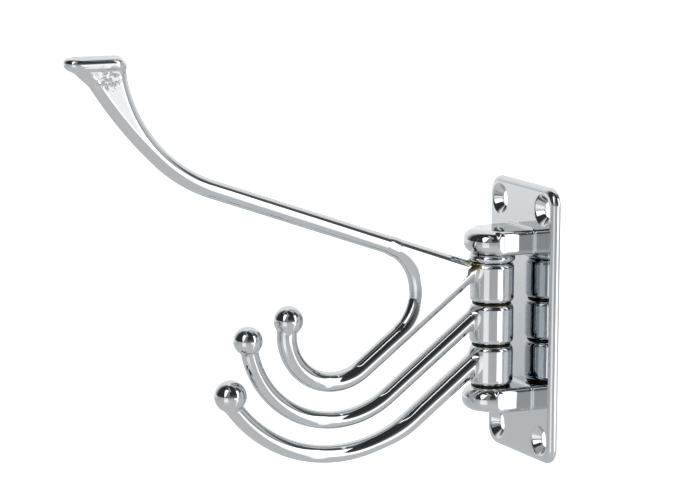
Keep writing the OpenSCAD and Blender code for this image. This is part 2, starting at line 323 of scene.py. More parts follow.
# %% [markdown]
# ## From field to object
# One function does for every casting what the foundry does: it pours the shape, fettles it and
# hands over a part. The object stays at the origin and its place is in its mesh, so it swings
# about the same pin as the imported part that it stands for.

# %% Cast a piece


def cast(name, field, low, high, step=GRID_STEP):
    """A smooth mesh of a field, as an object."""
    points, faces = net_of(field, low, high, step)
    points = settle(field, points, 3)
    points = even_out(points, faces, field, 3)
    points = settle(field, points, 2)
    slope = gradient(field, points)
    normals = slope / np.linalg.norm(slope, axis=1)[:, None]
    mesh = bpy.data.meshes.new(name)
    mesh.from_pydata((points * MM).tolist(), [], faces.tolist())
    mesh.shade_smooth()
    mesh.normals_split_custom_set_from_vertices(normals.tolist())
    piece = bpy.data.objects.new(name, mesh)
    bpy.context.scene.collection.objects.link(piece)
    size = points.max(0) - points.min(0)
    print(name, "has", len(faces), "faces and measures", size.round(2), "mm")
    return piece


def stand_in(piece, node, body, material):
    """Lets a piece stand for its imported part: the same place, material slot and motion."""
    piece.data.materials.append(material)
    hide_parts(node)
    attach(piece, body)


print("grid step:", GRID_STEP, "mm")

# %% [markdown]
# ## Colours and nodes
# Colours are written as sRGB hex codes, as a paint or plating chart gives them, and Blender
# works in linear light, so one function turns them. Another adds a node with its settings and
# links in one go, which keeps a material's recipe readable from top to bottom.

# %% Colour and node helpers


def linear(code):
    """An sRGB hex colour as Blender's linear colour."""
    shares = [int(code[i:i + 2], 16) / 255 for i in (1, 3, 5)]
    return [c / 12.92 if c <= 0.04045 else ((c + 0.055) / 1.055) ** 2.4 for c in shares] + [1.0]


def add_node(tree, kind, settings=None, links=None):
    """Adds a node, sets its properties and sockets, and links sockets to other nodes' outputs."""
    node = tree.nodes.new(kind)
    for key, value in (settings or {}).items():
        if isinstance(key, str) and hasattr(node, key):
            setattr(node, key, value)
        else:
            node.inputs[key].default_value = value
    for key, output in (links or {}).items():
        tree.links.new(output, node.inputs[key])
    return node


def new_material(name):
    """An empty material and its node tree."""
    material = bpy.data.materials.new(name)
    material.use_nodes = True
    tree = material.node_tree
    tree.nodes.clear()
    return material, tree


print("the sRGB grey #808080 is", round(linear("#808080")[0], 3), "in linear light")

# %% [markdown]
# ## Bright chrome
# The arms and the plate are castings that are polished, nickelled and then flashed with bright
# chrome. Its surface is a near mirror, slightly blue, so the eye sees the studio in it and
# hardly any colour of its own. A metal shader with a pale grey base and a roughness close to
# zero gives that. Measured chrome is a little darker than this base, but each bounce from one
# part to the next loses light, and the lighter base makes up for it. The polish is not
# perfect: under the plating the buffing wheel leaves a waviness of a few millimetres, and the
# bath a finer orange peel, and both bend reflections a little. Where the wheel can't reach,
# a few pits of the cast skin stay, and where the bath plates thinly, brass shows through.

# %% Chrome plate
CHROME = "#D0D4D7"
CHROME_WARM = "#CFC398"
BUFFING_WAVE, BUFFING_HEIGHT = 6.0, 0.018
ORANGE_PEEL, PEEL_HEIGHT = 0.9, 0.0016
CAST_SKIN, PIT_DEPTH, PIT_REACH = 1.6, 0.25, 4.6
WARM_REACH, WARM_SHARE = 3.2, 0.9
BEST_POLISH, WORST_POLISH = 0.02, 0.06
FADE_START = 0.4


def near_place(tree, position, place, reach, amount):
    """An amount at one place of a part, that fades to nothing at a distance, in millimetres."""
    middle = tuple(n * MM for n in place)
    distance = add_node(tree, "ShaderNodeVectorMath", {"operation": "DISTANCE", 1: middle},
                        {0: position})
    fade = add_node(tree, "ShaderNodeMapRange",
                    {"From Min": FADE_START * reach * MM, "From Max": reach * MM,
                     "To Min": amount, "To Max": 0.0, "interpolation_type": "SMOOTHSTEP"},
                    {"Value": distance.outputs["Value"]})
    return fade.outputs["Result"]


def cast_pits(tree, position, place, normal):
    """Pits of the cast skin near one place, pressed into a normal."""
    skin = add_node(tree, "ShaderNodeTexNoise",
                    {"Scale": 1 / (CAST_SKIN * MM), "Detail": 3.0, "Roughness": 0.6},
                    {"Vector": position})
    pits = add_node(tree, "ShaderNodeMapRange",
                    {"interpolation_type": "SMOOTHSTEP", "From Min": 0.5, "From Max": 0.68},
                    {"Value": skin.outputs["Fac"]})
    strength = near_place(tree, position, place, PIT_REACH, 1.0)
    bump = add_node(tree, "ShaderNodeBump", {"Distance": PIT_DEPTH * MM},
                    {"Strength": strength, "Height": pits.outputs["Result"], "Normal": normal})
    return bump.outputs["Normal"]


def chrome_plate(name, warm_place=None, rough_place=None):
    """Bright chrome, if wanted brassy at one place and pitted at another."""
    material, tree = new_material(name)
    place = add_node(tree, "ShaderNodeTexCoord").outputs["Object"]
    wave = add_node(tree, "ShaderNodeTexNoise",
                    {"Scale": 1 / (BUFFING_WAVE * MM), "Detail": 1.0, "Roughness": 0.4},
                    {"Vector": place})
    peel = add_node(tree, "ShaderNodeTexNoise",
                    {"Scale": 1 / (ORANGE_PEEL * MM), "Detail": 2.0, "Roughness": 0.5},
                    {"Vector": place})
    bump = add_node(tree, "ShaderNodeBump", {"Strength": 1.0, "Distance": BUFFING_HEIGHT * MM},
                    {"Height": wave.outputs["Fac"]})
    bump = add_node(tree, "ShaderNodeBump", {"Strength": 1.0, "Distance": PEEL_HEIGHT * MM},
                    {"Height": peel.outputs["Fac"], "Normal": bump.outputs["Normal"]})
    normal = bump.outputs["Normal"]
    if rough_place is not None:
        normal = cast_pits(tree, place, rough_place, normal)
    haze = add_node(tree, "ShaderNodeMapRange",
                    {"From Min": 0.35, "From Max": 0.75,
                     "To Min": BEST_POLISH, "To Max": WORST_POLISH},
                    {"Value": wave.outputs["Fac"]})
    metal = add_node(tree, "ShaderNodeBsdfPrincipled",
                     {"Base Color": linear(CHROME), "Metallic": 1.0},
                     {"Roughness": haze.outputs["Result"], "Normal": normal})
    if warm_place is not None:
        warmth = near_place(tree, place, warm_place, WARM_REACH, WARM_SHARE)
        tone = add_node(tree, "ShaderNodeMix",
                        {"data_type": "RGBA", 6: linear(CHROME), 7: linear(CHROME_WARM)},
                        {0: warmth})
        tree.links.new(tone.outputs[2], metal.inputs["Base Color"])
    add_node(tree, "ShaderNodeOutputMaterial", {}, {"Surface": metal.outputs["BSDF"]})
    return material


chrome = chrome_plate("bright_chrome")
print("material:", chrome.name, "with", len(chrome.node_tree.nodes), "nodes")

# %% [markdown]
# ## The knuckle
# Each arm turns on the pin with a knuckle, a round barrel that is turned on its ends and
# bored through. It could be a bevelled cylinder, but the arm has to grow out of it through a
# fillet, so it is a field too: the distance past its side and past its end, rounded where
# they meet. Its height comes from the stack: washer, knuckle, washer, knuckle, and so on.

# %% Knuckle
KNUCKLE_R = 12.9 / 2
KNUCKLE_H = 11.75
KNUCKLE_EDGE = 1.5
KNUCKLE_REACH = KNUCKLE_R + 1
BORE_EDGE = 0.3
WASHER_T = 0.3
FACE_GAP = 0.05


def barrel(x, y, z, middle_z, radius, height, edge):
    """A round barrel about the pin, with rounded edges."""
    past_side = np.hypot(x, y - pin_y) - (radius - edge)
    past_end = np.abs(z - middle_z) - (height / 2 - edge)
    return outside(past_side, past_end) - edge


def knuckle(x, y, z, middle_z):
    """The solid barrel of an arm's knuckle."""
    return barrel(x, y, z, middle_z, KNUCKLE_R, KNUCKLE_H, KNUCKLE_EDGE)


def bored(field, x, y):
    """Opens a field for the pin, with a small rounded edge at the bore's mouth."""
    return cut(field, np.hypot(x, y - pin_y) - BORE_R, BORE_EDGE)


def knuckle_middle_z(place):
    """Height of a knuckle's middle, counted from the lowest."""
    step = WASHER_T + KNUCKLE_H + 2 * FACE_GAP
    return lower_face_z + WASHER_T + FACE_GAP + place * step + KNUCKLE_H / 2


print("knuckles' middles:", [round(knuckle_middle_z(n), 2) for n in range(3)], "mm")

# %% [markdown]
# ## Swing hooks
# A swing hook is one casting: a knuckle, a round rod that runs down from it, a bend that comes
# up again, and a ball so that cloth isn't torn. The rod could be a curve with a bevel, but it
# wouldn't flow into the ball and the knuckle. Rod and bend lie in one plane, so their distance
# is a flat distance first and a round section second. The lowest hook's rod is deeper near
# its root, where it carries the most, and the depth fades out before the bend.

# %% Swing hooks
HOOK_FALL = 37
ROOT_FILLET = 1.4
BALL_FILLET = 0.5
ROD_INSET = 2
SWELL_END, SWELL_FADE = 38, 14


def hook_line(root_z, reach, bend_r):
    """Root, end of the straight run and middle of the bend, in the arm's plane."""
    root = np.array([KNUCKLE_R, root_z])
    run = reach - root[0] - bend_r * math.sin(math.radians(HOOK_FALL))
    run /= math.cos(math.radians(HOOK_FALL))
    end = root + run * toward(-HOOK_FALL)
    return root, end, end + bend_r * toward(90 - HOOK_FALL)


def hook_field(x, s, t, root_z, reach, bend_r, bend_end, rod_r, ball_r, ball_inset, swell):
    """A straight run, a bend and a ball. The swell thickens the run's lower side."""
    root, run_end, centre = hook_line(root_z, reach, bend_r)
    inner = root - ROD_INSET * toward(-HOOK_FALL)
    ball = centre + (bend_r - ball_inset) * toward(bend_end - 90)
    half_swell = swell / 2 * smooth((SWELL_END - s) / SWELL_FADE)
    flat = np.minimum(
        to_line(s, t + half_swell, inner, run_end),
        to_arc(s, t + half_swell, centre, bend_r, -90 - HOOK_FALL, bend_end - 90),
    )
    rod = np.hypot(flat, x) - rod_r - half_swell
    end_ball = np.sqrt((s - ball[0]) ** 2 + (t - ball[1]) ** 2 + x * x) - ball_r
    return join(rod, end_ball, BALL_FILLET)


def swing_arm(node, middle_z, **sizes):
    """A swing hook that replaces its node."""

    def field(x, y, z):
        hook = hook_field(x, pin_y - y, z - middle_z, **sizes)
        joined = join(knuckle(x, y, z, middle_z), hook, ROOT_FILLET)
        past_ends = np.abs(z - middle_z) - KNUCKLE_H / 2
        near_pin = np.hypot(x, y - pin_y) < KNUCKLE_REACH
        return bored(np.where(near_pin, np.maximum(joined, past_ends), joined), x, y)

    piece = cast(node + "_cast", field, *node_box(node))
    stand_in(piece, node, node, chrome)
    return piece


swing_arm(
    "lower_arm", knuckle_middle_z(0), root_z=0.8, reach=49.8, bend_r=39.5, bend_end=58.5,
    rod_r=5.25 / 2, ball_r=9.3 / 2, ball_inset=1.1, swell=0.9,
)
swing_arm(
    "middle_arm", knuckle_middle_z(1), root_z=1.7, reach=50.0, bend_r=27.3, bend_end=85,
    rod_r=5.1 / 2, ball_r=8.4 / 2, ball_inset=0.0, swell=0.0,
)

# %% [markdown]
# ## Hat and coat arm: the drawing
# Two rods leave one root, with a flat web in the fork, and the upper rod widens to a webbed
# neck under the hat rest. A casting like this is a flat plate with full-round edges, so the
# whole outline is drawn in the plane, rods as lines and webs as filled areas, and gets its
# round section in one step. The neck lies between two curves that start together: the upper
# rod's bend on one side, and a much wider arc on the other.

# %% Upper rod and neck
HAT_ROD_R = 5.3 / 2
HAT_RISE = 19.3
HAT_ROOT_Z = 3.4
HAT_BEND_REACH, HAT_BEND_R, HAT_BEND_END = 88, 42.8, 83.6
NECK_START, NECK_OUTER_R, NECK_OUTER_END = 43, 120, 57
NECK_FOOT, NECK_FOOT_ANGLE = 7.0, 42

hat_middle_z = knuckle_middle_z(2)
hat_root = np.array([KNUCKLE_R, HAT_ROOT_Z])
hat_run = (HAT_BEND_REACH - hat_root[0]) / math.cos(math.radians(HAT_RISE))
hat_run_end = hat_root + hat_run * toward(HAT_RISE)
hat_bend = hat_run_end + HAT_BEND_R * toward(90 + HAT_RISE)


def on_hat_bend(angle):
    """The upper rod's middle line, where it has turned to an angle."""
    return hat_bend + HAT_BEND_R * toward(angle - 90)


neck_outer = on_hat_bend(NECK_START) + NECK_OUTER_R * toward(90 + NECK_START)


def on_neck(angle):
    """The neck's outer line, where it has turned to an angle."""
    return neck_outer + NECK_OUTER_R * toward(angle - 90)


neck_top = on_hat_bend(HAT_BEND_END)
foot_top = on_neck(NECK_OUTER_END) + NECK_FOOT * toward(NECK_FOOT_ANGLE)
neck_area = np.array(
    [on_hat_bend(a) for a in np.linspace(NECK_START, HAT_BEND_END, 15)]
    + [foot_top]
    + [on_neck(a) for a in np.linspace(NECK_OUTER_END, NECK_START, 9)]
)
print("the neck ends", round(neck_top[0], 1), "mm out from the pin")

# %% [markdown]
# ## The fork's web
# In the photograph the fork is filled by a flat web with a wide soft edge round its throat. A
# plain filled outline would leave creases where its edge meets the rods. So the edge's width
# changes along the throat: as wide as a rod's own radius at both ends and wider in between.
# The web is as thick as the rod that it is nearest to, and changes smoothly between the two.

# %% Web
THROAT_R = 12.6
WEB_EDGE = 3.4
NO_ZERO = 0.01
COAT_ROOT_Z, COAT_ROD_R, COAT_BALL_R = 4.2, 5.8 / 2, 8.5 / 2
COAT_REACH, COAT_BEND_R, COAT_END = 50.6, 14.7, 106

rise, fall = math.radians(HAT_RISE), math.radians(HOOK_FALL)
fork_reach = (COAT_ROOT_Z - HAT_ROOT_Z) / (math.tan(rise) + math.tan(fall)) / math.cos(rise)
fork_apex = hat_root + fork_reach * toward(HAT_RISE)
throat_line_r = THROAT_R + HAT_ROD_R
throat_out = throat_line_r / math.sin((rise + fall) / 2)
throat = fork_apex + throat_out * toward((HAT_RISE - HOOK_FALL) / 2)
throat_start, throat_end = 90 + HAT_RISE, 270 - HOOK_FALL


def web_rim(angle):
    """At an angle about the throat: radius of the web's flat part, and width of its soft edge."""
    share = ((angle % 360) - throat_start) / (throat_end - throat_start)
    rod_r = HAT_ROD_R + (COAT_ROD_R - HAT_ROD_R) * np.clip(share, 0, 1)
    widening = (WEB_EDGE - rod_r) * (1 - np.clip(np.abs(2 * share - 1), 0, 1) ** 4)
    return throat_line_r + widening, rod_r + widening


web_area = np.array([fork_apex] + [
    throat + web_rim(a)[0] * toward(a) for a in np.linspace(throat_start, throat_end, 33)
])


def web_field(x, s, t):
    """The flat web in the fork, as thick as each rod where it meets it."""
    out_s, out_t = s - throat[0], t - throat[1]
    rim, edge = web_rim(np.degrees(np.arctan2(out_t, out_s)))
    edge = np.where(np.hypot(out_s, out_t) < rim, edge, HAT_ROD_R)
    down = -toward(90 + HAT_RISE)
    under_hat_rod = np.maximum((s - hat_root[0]) * down[0] + (t - hat_root[1]) * down[1], 0)
    to_coat_rod = to_line(s, t, *hook_line(COAT_ROOT_Z, COAT_REACH, COAT_BEND_R)[:2])
    share = under_hat_rod / (under_hat_rod + to_coat_rod + NO_ZERO)
    half = HAT_ROD_R + (COAT_ROD_R - HAT_ROD_R) * share
    return np.hypot(to_area(s, t, web_area) * half / edge, x) - half


print("the throat's middle is", throat.round(1), "mm from the pin and its knuckle's middle")

# %% [markdown]
# ## The hat rest
# The rest is a flat bar with a round free end, where a hat's crown sits. Seen from the side
# its inner end turns down into the neck through a rounded shoulder, which wraps round the
# corners as a file would leave it. A bevelled box could give the bar but not the shoulder.

# %% Hat rest
REST_REACH, REST_W, REST_T, REST_CORNER = 14.7, 8.0, 3.7, 2.0
REST_EDGE = REST_T / 2 - 0.1
REST_SHOULDER, SHOULDER_BLEND = 3.4, 1.2


def rest_field(x, s, t):
    """The hat rest: a flat bar with a round free end. Its other end runs down into the neck."""
    inner_end = neck_top[0] - HAT_ROD_R
    free_end = neck_top[0] + REST_REACH
    top = neck_top[1] + HAT_ROD_R
    half_w = REST_W / 2
    past_inner = outside(
        inner_end - REST_T + REST_CORNER - s, np.abs(x) - (half_w - REST_CORNER)
    ) - REST_CORNER
    past_free = np.hypot(np.maximum(s - free_end + half_w, 0), x) - half_w
    past_plan = np.maximum(past_inner, past_free) + REST_EDGE
    past_face = np.abs(t - top + REST_T / 2) - (REST_T / 2 - REST_EDGE)
    bar = outside(past_plan, past_face) - REST_EDGE
    bulge = (half_w - np.sqrt(np.maximum(half_w ** 2 - x * x, NO_ZERO))) / 2
    past_shoulder = outside(inner_end + bulge + REST_SHOULDER - s, t - top + REST_SHOULDER)
    return -join(-bar, REST_SHOULDER - past_shoulder, SHOULDER_BLEND)


print("the rest is", REST_W, "x", REST_T, "mm")

# %% [markdown]
# ## Hat and coat arm: the casting
# All pieces of the drawing now join into one casting. The fillet under the rest fades out
# near its top face, or the top would swell. The knuckle's top is kept clear for the collar
# that sits on it. Two traces of the work are placed one by one: thin plating where the rod
# leaves the knuckle, and pits on the neck's web, where a buffing wheel hardly reaches.

# %% Hat and coat arm
COLLAR_CUT_R = 13.5 / 2 + 0.5
COAT_FILLET = 0.5
REST_FILLET, REST_FILLET_LEAST, REST_FILLET_START = 1.5, 0.1, 0.6
THIN_SIDE, THIN_BELOW = 1.5, 0.6
PIT_RISE, PIT_NECK_ANGLE, PIT_SHIFT = 70, 52, (4.5, 8.0)


def hat_arm_field(x, y, z):
    """The whole hat and coat arm."""
    s, t = pin_y - y, z - hat_middle_z
    upper = np.minimum(
        to_line(s, t, hat_root - ROD_INSET * toward(HAT_RISE), hat_run_end),
        to_arc(s, t, hat_bend, HAT_BEND_R, HAT_RISE - 90, HAT_BEND_END - 90),
    )
    flat = np.minimum(upper, to_area(s, t, neck_area))
    casting = np.hypot(flat, x) - HAT_ROD_R
    coat = hook_field(x, s, t, COAT_ROOT_Z, COAT_REACH, COAT_BEND_R, COAT_END,
                      COAT_ROD_R, COAT_BALL_R, ball_inset=0, swell=0)
    casting = np.minimum(join(casting, coat, COAT_FILLET), web_field(x, s, t))
    under_top = neck_top[1] + HAT_ROD_R - t
    growth = np.clip((under_top - REST_FILLET_START) / REST_FILLET, 0, 1)
    fillet = REST_FILLET_LEAST + REST_FILLET * growth
    casting = np.maximum(join(casting, rest_field(x, s, t), fillet), -under_top)

    joined = join(knuckle(x, y, z, hat_middle_z), casting, ROOT_FILLET)
    radius = np.hypot(x, y - pin_y)
    past_top = hat_middle_z + KNUCKLE_H / 2 - z
    joined = np.maximum(joined, -np.maximum(radius - COLLAR_CUT_R, past_top))
    past_bottom = hat_middle_z - KNUCKLE_H / 2 - z
    joined = np.where(radius < KNUCKLE_REACH, np.maximum(joined, past_bottom), joined)
    return bored(joined, x, y)


hat_arm = cast("hat_arm_cast", hat_arm_field, *node_box("hat_arm"))
thin_plating = (THIN_SIDE, pin_y - KNUCKLE_R, hat_middle_z + KNUCKLE_H / 2 - THIN_BELOW)
pit_middle = (on_hat_bend(PIT_RISE) + on_neck(PIT_NECK_ANGLE)) / 2 + np.array(PIT_SHIFT)
pit_place = (HAT_ROD_R, pin_y - pit_middle[0], hat_middle_z + pit_middle[1])
hat_chrome = chrome_plate("bright_chrome_hat_arm", thin_plating, pit_place)
stand_in(hat_arm, "hat_arm", "hat_arm", hat_chrome)

# %% [markdown]
# ## Wall plate and lugs
# The plate and its two lugs are one casting as well. Its outline has rounded corners and a
# rounded front edge, and the back edge is only broken with a file. The lugs are round-nosed
# blocks. In the photograph their edges are full-round about the nose and almost square along
# the sides, so the edge's radius changes smoothly along a lug, which no bevel tool would do.
# The four screw holes are countersunk, and each cut leaves a small bright rounded edge.

# %% Wall plate and lugs
PLATE_W, PLATE_H, PLATE_T = 38, 80.6, 2.7
PLATE_CORNER, PLATE_EDGE, PLATE_BACK_EDGE = 5, 1.8, 0.7
SCREW_X, SCREW_Z = PLATE_W / 2 - 6.5, PLATE_H / 2 - 6.7
SCREW_HOLE_R, SCREW_SINK_R, SCREW_EDGE = 2.15, 4.4, 0.25
LUG_W, LUG_NOSE_EDGE, LUG_SIDE_EDGE = 16.8, 3.3, 1.3
LUG_SQUARE_FROM, LUG_SQUARE_RUN = 2.6, 1.2
LUG_ROOT_FILLET = 0.8
HEAD_R, SEAT_GAP = 7.0 / 2, 0.02
PIN_RIM = 0.08
PLATE_STEP = 0.7 * GRID_STEP


def lug_field(x, y, z, middle_z):
    """A round-nosed block, full-round about the nose and nearly square along its sides."""
    square = smooth((y - pin_y + LUG_SQUARE_FROM) / LUG_SQUARE_RUN)
    edge = LUG_NOSE_EDGE + (LUG_SIDE_EDGE - LUG_NOSE_EDGE) * square
    past_width = np.abs(x) - (LUG_W / 2 - edge)
    past_nose = np.hypot(x, np.minimum(y - pin_y, 0)) - (LUG_W / 2 - edge)
    past_plan = np.where(y < pin_y, past_nose, past_width)
    past_face = np.abs(z - middle_z) - (LUG_T / 2 - edge)
    return outside(past_plan, past_face) - edge


def screw_hole(x, y, z, side, end):
    """A countersunk hole near one corner of the plate."""
    radius = np.hypot(x - side * SCREW_X, z - end * SCREW_Z)
    cone = (radius - SCREW_SINK_R + y + PLATE_T) / math.sqrt(2)
    return np.minimum(radius - SCREW_HOLE_R, np.maximum(cone, radius - SCREW_SINK_R))


def pin_hole(x, y, z):
    """The hole for the riveted pin, which opens to a cone at the lugs' outer faces."""
    radius = np.hypot(x, y - pin_y)
    past_end = np.maximum(z - pin_high[2], pin_low[2] - z)
    head = np.maximum((radius - HEAD_R - past_end) / math.sqrt(2), radius - HEAD_R)
    return np.minimum(radius - PIN_R, head) - SEAT_GAP


def plate_field(x, y, z):
    """The wall plate with its lugs and holes."""
    past_x = np.abs(x) - (PLATE_W / 2 - PLATE_CORNER)
    past_z = np.abs(z) - (PLATE_H / 2 - PLATE_CORNER)
    past_outline = outside(past_x, past_z) - (PLATE_CORNER - PLATE_EDGE)
    past_front = -y - (PLATE_T - PLATE_EDGE)
    plate = outside(past_outline, past_front) - PLATE_EDGE
    for middle_z in (upper_face_z + LUG_T / 2, lower_face_z - LUG_T / 2):
        plate = join(plate, lug_field(x, y, z, middle_z), LUG_ROOT_FILLET)
    for side in (-1, 1):
        for end in (-1, 1):
            plate = cut(plate, screw_hole(x, y, z, side, end), SCREW_EDGE)
    plate = cut(plate, -y, PLATE_BACK_EDGE)
    return cut(plate, pin_hole(x, y, z), PIN_RIM)


plate = cast("back_plate_cast", plate_field, *node_box("back_plate"), step=PLATE_STEP)
stand_in(plate, "back_plate", "plate", chrome)

# %% [markdown]
# ## Bead collar
# A bead with a full-round edge fills the space under the upper lug. It is turned from bar, and
# a torus with a flat inside could stand for it, but the knuckle's barrel with an edge of half
# its height is that very shape, so the same field is used again on a finer grid.

# %% Bead collar
COLLAR_D, COLLAR_H = 13.5, 2.5
COLLAR_STEP = 0.6 * GRID_STEP


def collar_field(x, y, z):
    """The collar against the upper lug's face."""
    middle_z = upper_face_z - COLLAR_H / 2
    return bored(barrel(x, y, z, middle_z, COLLAR_D / 2, COLLAR_H, COLLAR_H / 2), x, y)


collar = cast("bead_collar_turned", collar_field, *node_box("bead_collar"), step=COLLAR_STEP)
stand_in(collar, "bead_collar", "plate", chrome)

# %% [markdown]
# ## Pin
# The pin is turned, its ends are riveted over into the lugs' countersinks and dressed flush,
# and then it is plated with the rest, so only a faint ring shows. A field would need a very
# fine grid for that ring. A profile that is spun about the axis, as a lathe does, gives it
# exactly, with a small round rim that catches a line of light.

# %% Pin
SPIN_STEPS = 96
RIM_ANGLES = (0, 22, 45, 67, 90)
FLAT_RING = 0.6
CONE_FOOT, CONE_DEPTH = 0.1, 1.0


def spun(name, profile):
    """Spins a profile of (radius, height) points about the pin's axis."""
    mesh = bmesh.new()
    turns = [2 * math.pi * n / SPIN_STEPS for n in range(SPIN_STEPS)]
    rings = []
    for radius, height in profile:
        around = turns if radius else turns[:1]
        places = [(radius * math.cos(a), pin_y + radius * math.sin(a), height) for a in around]
        rings.append([mesh.verts.new(Vector(place) * MM) for place in places])
    for low, high in zip(rings, rings[1:]):
        for n in range(SPIN_STEPS):
            after = (n + 1) % SPIN_STEPS
            corners = [low[n % len(low)], low[after % len(low)]]
            corners += [high[after % len(high)], high[n % len(high)]]
            face = mesh.faces.new(list(dict.fromkeys(corners)))
            face.smooth = True
    data = bpy.data.meshes.new(name)
    mesh.to_mesh(data)
    mesh.free()
    piece = bpy.data.objects.new(name, data)
    bpy.context.scene.collection.objects.link(piece)
    return piece


def pin_end(face_z, way):
    """The profile of a riveted end, from its middle to the pin's side."""
    rim = []
    for angle in RIM_ANGLES:
        out, down = math.sin(math.radians(angle)), 1 - math.cos(math.radians(angle))
        rim.append((HEAD_R - PIN_RIM + PIN_RIM * out, face_z - way * PIN_RIM * down))
    flat = [(0, face_z), (HEAD_R * FLAT_RING, face_z), (HEAD_R - 1.5 * PIN_RIM, face_z)]
    cone = [(PIN_R + CONE_FOOT, face_z - way * (HEAD_R - PIN_R)),
            (PIN_R, face_z - way * CONE_DEPTH)]
    return flat + rim + cone


pin = spun("pivot_pin_turned", pin_end(pin_low[2], -1) + pin_end(pin_high[2], 1)[::-1])
stand_in(pin, "pivot_pin", "plate", chrome)
print("pin from", round(pin_low[2], 2), "to", round(pin_high[2], 2), "mm")

# %% [markdown]
# ## Washers
# Thin friction washers punched from rolled brass sheet lie between the knuckles and hold each
# arm where it is turned. Their flat imported shapes are right as they are, so they only need a
# finish. The brass is painted dark, as painted shade in the grooves between the knuckles, so
# the eye sees a dark hairline with a faint warm glint: the base goes from a dull brown to
# almost black in random patches. The rolling grain is finer than a tenth of a millimetre and is
# drawn coarser, or it wouldn't show.

# %% Washers
# Painted shade: both brass tones are dark, so the washers show the shade in the gaps between the
# knuckles.
SHADED_BRASS, DARK_BRASS = "#4A3D26", "#241D12"
TARNISH_PATCH = 2.5
ROLL_GRAIN, GRAIN_HEIGHT = 0.5, 0.004
GRAIN_POLISH, GRAIN_DULL = 0.25, 0.45


def rolled_brass():
    """Rolled brass sheet, painted dark as shade in the gaps between the knuckles."""
    material, tree = new_material("rolled_brass")
    place = add_node(tree, "ShaderNodeTexCoord").outputs["Object"]
    patches = add_node(tree, "ShaderNodeTexNoise",
                       {"Scale": 1 / (TARNISH_PATCH * MM), "Detail": 3.0}, {"Vector": place})
    # Painted shade: the base colour goes from dark brown to almost black in random patches.
    tone = add_node(tree, "ShaderNodeMix",
                    {"data_type": "RGBA", 6: linear(SHADED_BRASS), 7: linear(DARK_BRASS)},
                    {0: patches.outputs["Fac"]})
    grain = add_node(tree, "ShaderNodeTexNoise",
                     {"Scale": 1 / (ROLL_GRAIN * MM), "Detail": 2.0}, {"Vector": place})
    rough = add_node(tree, "ShaderNodeMapRange", {"To Min": GRAIN_POLISH, "To Max": GRAIN_DULL},
                     {"Value": grain.outputs["Fac"]})
    bump = add_node(tree, "ShaderNodeBump", {"Strength": 1.0, "Distance": GRAIN_HEIGHT * MM},
                    {"Height": grain.outputs["Fac"]})
    metal = add_node(tree, "ShaderNodeBsdfPrincipled", {"Metallic": 1.0},
                     {"Base Color": tone.outputs[2], "Roughness": rough.outputs["Result"],
                      "Normal": bump.outputs["Normal"]})
    add_node(tree, "ShaderNodeOutputMaterial", {}, {"Surface": metal.outputs["BSDF"]})
    return material


brass = rolled_brass()
for name in ("upper_washer", "middle_washer", "lower_washer"):
    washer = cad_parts[name]
    washer.data.materials.clear()
    washer.data.materials.append(brass)
    print(name, "is", brass.name)

# %% [markdown]
# ## Studio directions
# Chrome shows its surroundings and little else, so the studio is half of the finish. Every
# light and dark patch in it is placed by direction: degrees to the right of the camera and
# degrees above the horizon, as a photographer would point at it. These directions belong to
# the room and don't follow the camera, so the reflections stay right from every other view.

# %% Directions


def studio_axes():
    """Level directions towards the camera's side of the room and towards its right."""
    facing = Vector((math.sin(VIEW_AZIMUTH), -math.cos(VIEW_AZIMUTH), 0))
    return facing, Vector((-facing.y, facing.x, 0))


def studio_direction(azimuth, elevation):
    """The direction at two angles in degrees."""
    facing, right = studio_axes()
    a, e = math.radians(azimuth), math.radians(elevation)
    level = facing * math.cos(a) + right * math.sin(a)
    return level * math.cos(e) + Vector((0, 0, math.sin(e)))


print("30 degrees right, 20 up:", [round(n, 3) for n in studio_direction(30, 20)])

# %% [markdown]
# ## Soft boxes
# A soft box is a lamp behind white cloth. On chrome it makes a bright patch with a clean edge,
# so its outline matters more than its power. Blender's area lamps are rectangles or discs, so
# each box here is a glowing board with its own corners instead, hidden from the camera. Thin
# strips high on both sides draw the fine bright lines along the rods.

# %% Soft boxes
BOX_DISTANCE = 2.6
SOFT_BOXES = {
    "soft_box_right": ([(49, -4), (61, -4), (73, 40), (50, 43)], 2.0),
    "soft_box_left": ([(-38, 1), (-29, 12), (-16, 50), (-47, 53), (-49, 36)], 1.9),
    "reflector": ([(-26, 4), (-6, 4), (-4, 44), (-15, 50)], 0.3),
}
STRIPS = {
    "strip_left": ([(-36, 69), (-24, 65), (-10, 56), (2, 43)], 3.5, 1.9),
    "strip_right": ([(62, 52), (76, 62), (95, 67), (120, 68), (150, 64), (172, 48)], 3.0, 1.1),
}


def soft_box(name, corners, strength):
    """A soft box that fills a patch of the studio, given by its corners' directions."""
    points = [studio_direction(*corner) * BOX_DISTANCE for corner in corners]
    mesh = bpy.data.meshes.new(name)
    mesh.from_pydata([tuple(p) for p in points], [], [tuple(range(len(points)))])
    board = bpy.data.objects.new(name, mesh)
    bpy.context.scene.collection.objects.link(board)
    material, tree = new_material(name)
    glow = add_node(tree, "ShaderNodeEmission", {"Color": linear("#FFFFFF"), "Strength": strength})
    add_node(tree, "ShaderNodeOutputMaterial", {}, {"Surface": glow.outputs["Emission"]})
    mesh.materials.append(material)
    board.visible_camera = False


def strip_light(name, places, thickness, strength):
    """A thin light along a line of directions."""
    lower = [(a, e - thickness / 2) for a, e in places]
    upper = [(a, e + thickness / 2) for a, e in places]
    for n in range(len(places) - 1):
        soft_box(f"{name}_{n}", [lower[n], lower[n + 1], upper[n + 1], upper[n]], strength)


for name, (corners, strength) in SOFT_BOXES.items():
    soft_box(name, corners, strength)
for name, (places, thickness, strength) in STRIPS.items():
    strip_light(name, places, thickness, strength)
print("soft boxes:", len(SOFT_BOXES), "and strips:", len(STRIPS))

